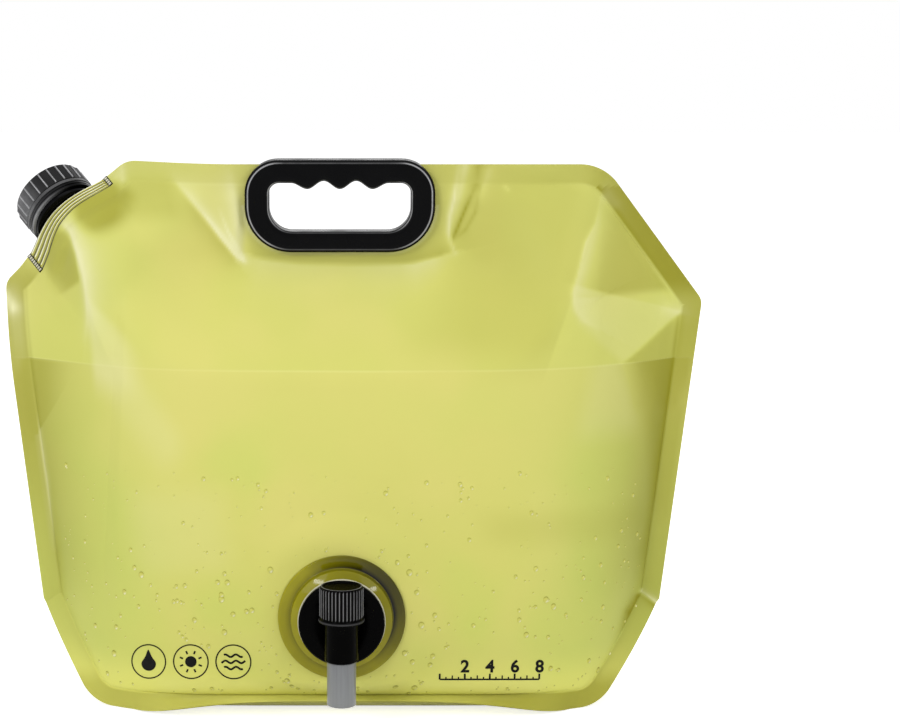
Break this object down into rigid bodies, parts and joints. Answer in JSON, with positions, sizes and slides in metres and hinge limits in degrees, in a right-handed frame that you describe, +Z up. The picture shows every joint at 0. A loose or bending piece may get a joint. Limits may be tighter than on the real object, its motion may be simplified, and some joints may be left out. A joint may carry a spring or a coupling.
{
  "type": "collapsible water carrier",
  "caption": "Standing film water bag with a finger-grip handle, a screw-capped filler spout in one corner and a turning-knob tap low on the front.",
  "frame": {"origin": "middle of the flat floor that the filled bag stands on, straight below the top seal", "axes": "+Z up, -Y out of the front that carries the tap, +X to the right seen from the front"},
  "size_m": [0.3793, 0.1708, 0.2943],
  "materials": {
    "film": "clear olive film, satin",
    "black": "satin black moulding",
    "port": "olive weldable plastic, glossy collar",
    "pale_seal": "pale silicone",
    "seal": "black rubber",
    "valve": "white moulding",
    "tube": "grey soft tube"
  },
  "bodies": {
    "root": {"front_panel": "film", "back_panel": "film", "bottom_gusset": "film", "spout_fitment": "black", "tamper_ring": "black", "handle_front": "black", "handle_back": "black", "tap_flange": "port"},
    "cap_travel": {"cap_liner": "pale_seal"},
    "cap": {"filler_cap": "black"},
    "tap_travel": {"tap_gasket": "pale_seal"},
    "tap": {"tap_screw_base": "black", "tap_body": "black", "shank_oring": "pale_seal", "shank_nut": "black", "outlet_tube": "tube"},
    "knob": {"tap_knob": "black", "valve_core": "valve", "core_oring_upper": "seal", "core_oring_lower": "seal"}
  },
  "joints": [
    {"name": "cap_rise", "type": "slide", "parent": "root", "child": "cap_travel", "axis": [-0.5647, 0.6018, 0.5647], "range_m": [0, 0.0101]},
    {"name": "cap_turn", "type": "hinge", "parent": "cap_travel", "child": "cap", "pos_m": [-0.15426, 0.02223, 0.26025], "axis": [-0.5647, 0.6018, 0.5647], "range_deg": [0, 900]},
    {"name": "tap_draw", "type": "slide", "parent": "root", "child": "tap_travel", "axis": [0, -1, 0], "range_m": [0, 0.0091]},
    {"name": "tap_turn", "type": "hinge", "parent": "tap_travel", "child": "tap", "pos_m": [-0.0052, -0.0655, 0.0592], "axis": [0, -1, 0], "range_deg": [0, 1080]},
    {"name": "knob_turn", "type": "hinge", "parent": "tap", "child": "knob", "pos_m": [-0.0052, -0.0927, 0.0592], "axis": [0, 0, 1], "range_deg": [0, 90]}
  ],
  "couplings": [
    {"joint": "cap_rise", "follows": "cap_turn", "m_per_rad": 0.00063662},
    {"joint": "tap_draw", "follows": "tap_turn", "m_per_rad": 0.00047746}
  ]
}
